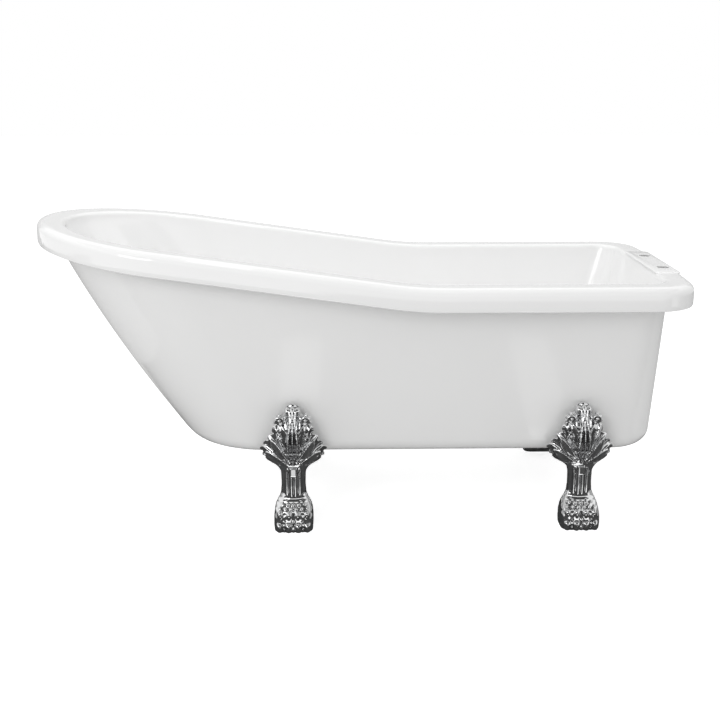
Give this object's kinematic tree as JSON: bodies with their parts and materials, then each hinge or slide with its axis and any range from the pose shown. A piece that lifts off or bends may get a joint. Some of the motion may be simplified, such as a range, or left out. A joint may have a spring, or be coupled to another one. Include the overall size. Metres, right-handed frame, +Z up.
{
  "type": "clawfoot bathtub",
  "caption": "Double-skinned slipper bath with a rolled rim rising to one end, a tap deck, a click waste and overflow, on cast claw feet with levellers.",
  "frame": {"origin": "on the floor under the middle of the bath's bounding box", "axes": "+X along the bath towards the tap end, +Y across it, +Z up"},
  "size_m": [1.7, 0.75, 0.7799],
  "materials": {
    "white_acrylic": "gloss",
    "white_acrylic_skin": "gloss",
    "board": "raw",
    "zinc_steel": "zinc plated",
    "chrome_trim": "polished",
    "chrome_foot": "polished plating on cast metal",
    "black_rubber": "matt",
    "grey_plastic": "moulded",
    "white_plastic": "moulded"
  },
  "bodies": {
    "bath": {"base_board": "board", "bearer_far": "board", "bearer_near": "board", "claw_foot_far_slipper": "chrome_foot", "claw_foot_far_tap": "chrome_foot", "claw_foot_near_slipper": "chrome_foot", "claw_foot_near_tap": "chrome_foot", "foot_bolts": "zinc_steel", "foot_gasket_far_slipper": "black_rubber", "foot_gasket_far_tap": "black_rubber", "foot_gasket_near_slipper": "black_rubber", "foot_gasket_near_tap": "black_rubber", "inner_tub": "white_acrylic", "leveller_lock_nuts": "zinc_steel", "outer_skin": "white_acrylic_skin", "overflow_cover": "chrome_trim", "overflow_head": "white_plastic", "overflow_pipe": "white_plastic", "overflow_seal": "black_rubber", "plug_cartridge": "grey_plastic", "waste_body": "white_plastic", "waste_flange": "chrome_trim", "waste_seal": "black_rubber"},
    "plug": {"waste_plug": "chrome_trim", "plug_seal": "black_rubber"},
    "leveller_near_slipper": {"leveller_pad_near_slipper": "grey_plastic", "leveller_stud_near_slipper": "zinc_steel"},
    "leveller_far_slipper": {"leveller_pad_far_slipper": "grey_plastic", "leveller_stud_far_slipper": "zinc_steel"},
    "leveller_near_tap": {"leveller_pad_near_tap": "grey_plastic", "leveller_stud_near_tap": "zinc_steel"},
    "leveller_far_tap": {"leveller_pad_far_tap": "grey_plastic", "leveller_stud_far_tap": "zinc_steel"}
  },
  "joints": [
    {"name": "plug_press", "type": "slide", "parent": "bath", "child": "plug", "axis": [0, 0, 1], "range_m": [-0.008, 0], "stiffness_N_per_m": 150, "springref_m": 0.02},
    {"name": "leveller_near_slipper", "type": "slide", "parent": "bath", "child": "leveller_near_slipper", "axis": [0, 0, 1], "range_m": [-0.015, 0]},
    {"name": "leveller_far_slipper", "type": "slide", "parent": "bath", "child": "leveller_far_slipper", "axis": [0, 0, 1], "range_m": [-0.015, 0]},
    {"name": "leveller_near_tap", "type": "slide", "parent": "bath", "child": "leveller_near_tap", "axis": [0, 0, 1], "range_m": [-0.015, 0]},
    {"name": "leveller_far_tap", "type": "slide", "parent": "bath", "child": "leveller_far_tap", "axis": [0, 0, 1], "range_m": [-0.015, 0]}
  ]
}
